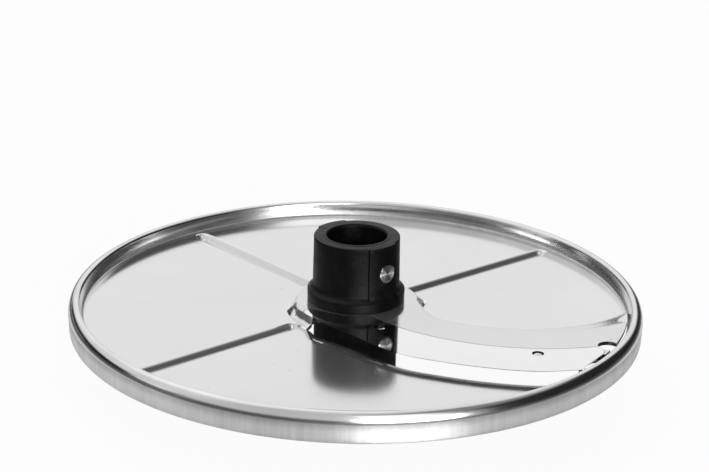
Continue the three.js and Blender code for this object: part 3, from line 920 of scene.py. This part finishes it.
def black_nylon():
    """Grainy black plastic, scuffed; what looks up is a little lighter, partly a dusty film and partly
    painted light.
    """
    nodes = Finish("black_nylon", (0.005, 0.005, 0.0055), 0, 0.45)
    place = nodes.place()
    grain = nodes.noise(place, 1900, 3, 0.6)
    scuffs = nodes.noise(place, 260, 4, 0.65)
    nodes.link(nodes.ramp(scuffs, 0.35, 0.7, 0.36, 0.5), "Roughness")
    # partly painted light: faces that look up are made lighter, standing for a dusty film and for light on
    # the top
    upward = nodes.ramp(nodes.facing(), 0.6, 0.95, 0, 1)
    dust_and_top_light = nodes.math("MULTIPLY", nodes.ramp(scuffs, 0.3, 0.7, 0.01, 0.02), upward)
    tone = nodes.math("ADD", dust_and_top_light, nodes.ramp(scuffs, 0.5, 0.8, 0.0015, 0.008))
    nodes.link(nodes.grey(tone), "Base Color")
    rough = nodes.math("ADD", grain, nodes.math("MULTIPLY", scuffs, 1.5))
    nodes.link(nodes.bump(rough, 0.0001, 0.9), "Normal")
    nodes.shader.inputs["Specular IOR Level"].default_value = 0.13
    return nodes.material


# ---- Stage, light and camera ----

FLOOR_REACH = 8  # metres
FLOOR_TONE = 0.9
# the painted pool of light on the floor: where it is bright and where it is dark
FLOOR_LIT = ((0.16, FLOOR_TONE), (0.23, 0.06))  # metres from the axis, and the tone there
FLOOR_GLOW = 0.94  # the share of plain white in what the camera sees of it


def floor():
    """A white sheet that keeps a faint shadow; to what stands on it, its tone is a painted pool of light,
    bright in the middle and dark further out.
    """
    nodes = Finish("floor_white", (FLOOR_TONE,) * 3, 0, 0.9)
    to_camera = nodes.add("ShaderNodeLightPath").outputs["Is Camera Ray"]
    (near, bright), (far, dim) = FLOOR_LIT
    # painted pool of light: the floor's tone fades from bright to dark away from the axis, but not to the
    # camera
    lit = nodes.ramp(nodes.radius(nodes.parts(nodes.place())), near, far, bright, dim)
    seen = nodes.math("MAXIMUM", lit, nodes.math("MULTIPLY", to_camera, FLOOR_TONE))
    nodes.link(nodes.grey(seen), "Base Color")
    glow = nodes.add("ShaderNodeEmission", {"Color": (1, 1, 1, 1), "Strength": 1.0})
    share = nodes.math("MULTIPLY", to_camera, FLOOR_GLOW)
    inputs = {0: share, 1: nodes.shader.outputs[0], 2: glow.outputs[0]}
    mix = nodes.add("ShaderNodeMixShader", inputs)
    nodes.tree.links.new(mix.outputs[0], nodes.tree.nodes["Material Output"].inputs[0])
    mesh = bpy.data.meshes.new("floor")
    corners = [(-1, -1), (1, -1), (1, 1), (-1, 1)]
    corners = [(x * FLOOR_REACH, y * FLOOR_REACH, cad_box[0].z) for x, y in corners]
    mesh.from_pydata(corners, [], [(0, 1, 2, 3)])
    mesh.materials.append(nodes.material)
    plane = new_object("floor", mesh)


# Zones of the room, each laid over those before it: strength, then left end, right end, lower end
# and upper end in degrees, each with half the width of its soft edge. 0 is straight behind the
# disc as the camera sees it, and degrees count to the right; heights count from the horizon.
ALL_ROUND = ((-300, 1), (300, 1))
ROOM = [
    (0.75, *ALL_ROUND, (-100, 1), (100, 1)),
    (0.25, (62, 25), (300, 1), (-100, 1), (78, 10)),
    (0.02, (30, 12), (126, 6), (-100, 1), (46, 8)),
    (0.6, (-300, 1), (-112, 10), (-100, 1), (78, 10)),
    (0.05, (-300, 1), (-112, 10), (-100, 1), (10, 10)),
    (0.04, (-88, 8), (-54, 4), (-14, 4), (10, 4)),
    (0.01, (-112, 6), (-28, 4), (1, 2), (16, 3)),
    (0.02, (18, 6), (126, 6), (-100, 1), (18, 4)),
    (0.9, (-108, 5), (-88, 5), (8, 2), (18, 3)),
    (1.4, (140, 8), (180, 4), (-9, 4), (64, 8)),
    (0.92, (-14, 8), (14, 8), (-100, 1), (60, 20)),
    (0.92, (-38, 10), (34, 10), (18, 6), (60, 20)),
]


def zone_mask(nodes, right, height, zone):
    """1 inside the zone of the room and 0 outside it, with soft edges."""
    (left, left_soft), (end, end_soft), (low, low_soft), (high, high_soft) = zone
    mask = nodes.ramp(right, left - left_soft, left + left_soft, 0, 1, "SMOOTHSTEP")
    for value, start, stop in (
        (right, end + end_soft, end - end_soft),
        (height, low - low_soft, low + low_soft),
        (height, high + high_soft, high - high_soft),
    ):
        mask = nodes.math("MULTIPLY", mask, nodes.ramp(value, start, stop, 0, 1, "SMOOTHSTEP"))
    return mask


def studio():
    """White to the camera; to everything else a grey room made of the zones above."""
    world = bpy.data.worlds.new("studio")
    bpy.context.scene.world = world
    world.use_nodes = True
    nodes = Nodes(world.node_tree)
    nodes.tree.nodes.clear()
    way = nodes.parts(nodes.add("ShaderNodeTexCoord").outputs["Generated"])
    degree = 180 / math.pi
    right = nodes.math("MULTIPLY", nodes.math("ARCTAN2", way[0], way[1]), degree)
    height = nodes.math("MULTIPLY", nodes.math("ARCSINE", way[2]), degree)
    level = 0.0
    for strength, *zone in ROOM:
        mask = zone_mask(nodes, right, height, zone)
        step = nodes.math("MULTIPLY", nodes.math("SUBTRACT", strength, level), mask)
        level = nodes.math("ADD", step, level)
    white = (1, 1, 1, 1)
    room = nodes.add("ShaderNodeBackground", {"Color": white, "Strength": level})
    plain = nodes.add("ShaderNodeBackground", {"Color": white, "Strength": 1.0})
    to_camera = nodes.add("ShaderNodeLightPath").outputs["Is Camera Ray"]
    inputs = {0: to_camera, 1: room.outputs[0], 2: plain.outputs[0]}
    mix = nodes.add("ShaderNodeMixShader", inputs)
    nodes.add("ShaderNodeOutputWorld", {0: mix.outputs[0]})


def lamp(name, place, size, power):
    """A soft rectangular lamp that faces the disc."""
    data = bpy.data.lights.new(name, "AREA")
    data.shape = "RECTANGLE"
    data.size, data.size_y = size
    data.energy = power
    light = new_object(name, data)
    light.location = place
    light.rotation_euler = (-Vector(place)).to_track_quat("-Z", "Y").to_euler()


def down_light(name, place, cone, power):
    """A narrow spotlight straight down, for a bright patch of table that the rim's skirt mirrors."""
    data = bpy.data.lights.new(name, "SPOT")
    data.spot_size = math.radians(cone)
    data.spot_blend = 0.3
    data.shadow_soft_size = 0.01
    data.energy = power
    new_object(name, data).location = place


CAMERA_PITCH = 20.28  # degrees below level
CAMERA_ROLL, CAMERA_YAW = 0.01975, -0.00132  # radians
CAMERA_BACK, CAMERA_UP = 638.2, 260.87  # from the plate's centre
CAMERA_LENS = 104.92


def camera():
    """At the photograph's viewing angle: the plate's centre seen from 22 degrees above."""
    pitch, roll, yaw = math.radians(CAMERA_PITCH), CAMERA_ROLL, CAMERA_YAW
    ahead = math.cos(pitch)
    forward = Vector((math.sin(yaw) * ahead, math.cos(yaw) * ahead, -math.sin(pitch)))
    level = Vector((math.cos(yaw), -math.sin(yaw), 0))
    upright = level.cross(forward)
    right = math.cos(roll) * level + math.sin(roll) * upright
    up = -math.sin(roll) * level + math.cos(roll) * upright
    data = bpy.data.cameras.new("camera")
    data.sensor_width = 36
    data.lens = CAMERA_LENS
    data.clip_start = 0.01
    eye = new_object("camera", data)
    turn = Matrix((right, up, -forward)).transposed().to_4x4()
    place = Vector((0, -CAMERA_BACK, PLATE_TOP + CAMERA_UP)) * MM
    eye.matrix_world = Matrix.Translation(place) @ turn
    bpy.context.scene.camera = eye


# ---- The disc, then its stage ----

steel = pin_steel()
nylon = black_nylon()
sheet_steel = pressed_steel()
disc_plate(sheet_steel)
rim(rolled_steel())
blade(blade_steel())
for number, spot in enumerate(rivet_spots(), 1):
    rivet(number, spot, steel)
hub(nylon)
nut(nylon)
washer(sheet_steel)
pin(steel)

floor()
studio()
lamp("front", (0.42, -1.1, 0.3), (0.7, 0.5), 8)
lamp("overhead", (-0.5, 0.5, 1.3), (1.2, 1.0), 1)
down_light("table", (0.029, -0.13, 0.3), 13, 5)
down_light("table_left", (-0.125, -0.083, 0.3), 5.7, 4)
camera()
bpy.context.scene.view_settings.view_transform = "Standard"
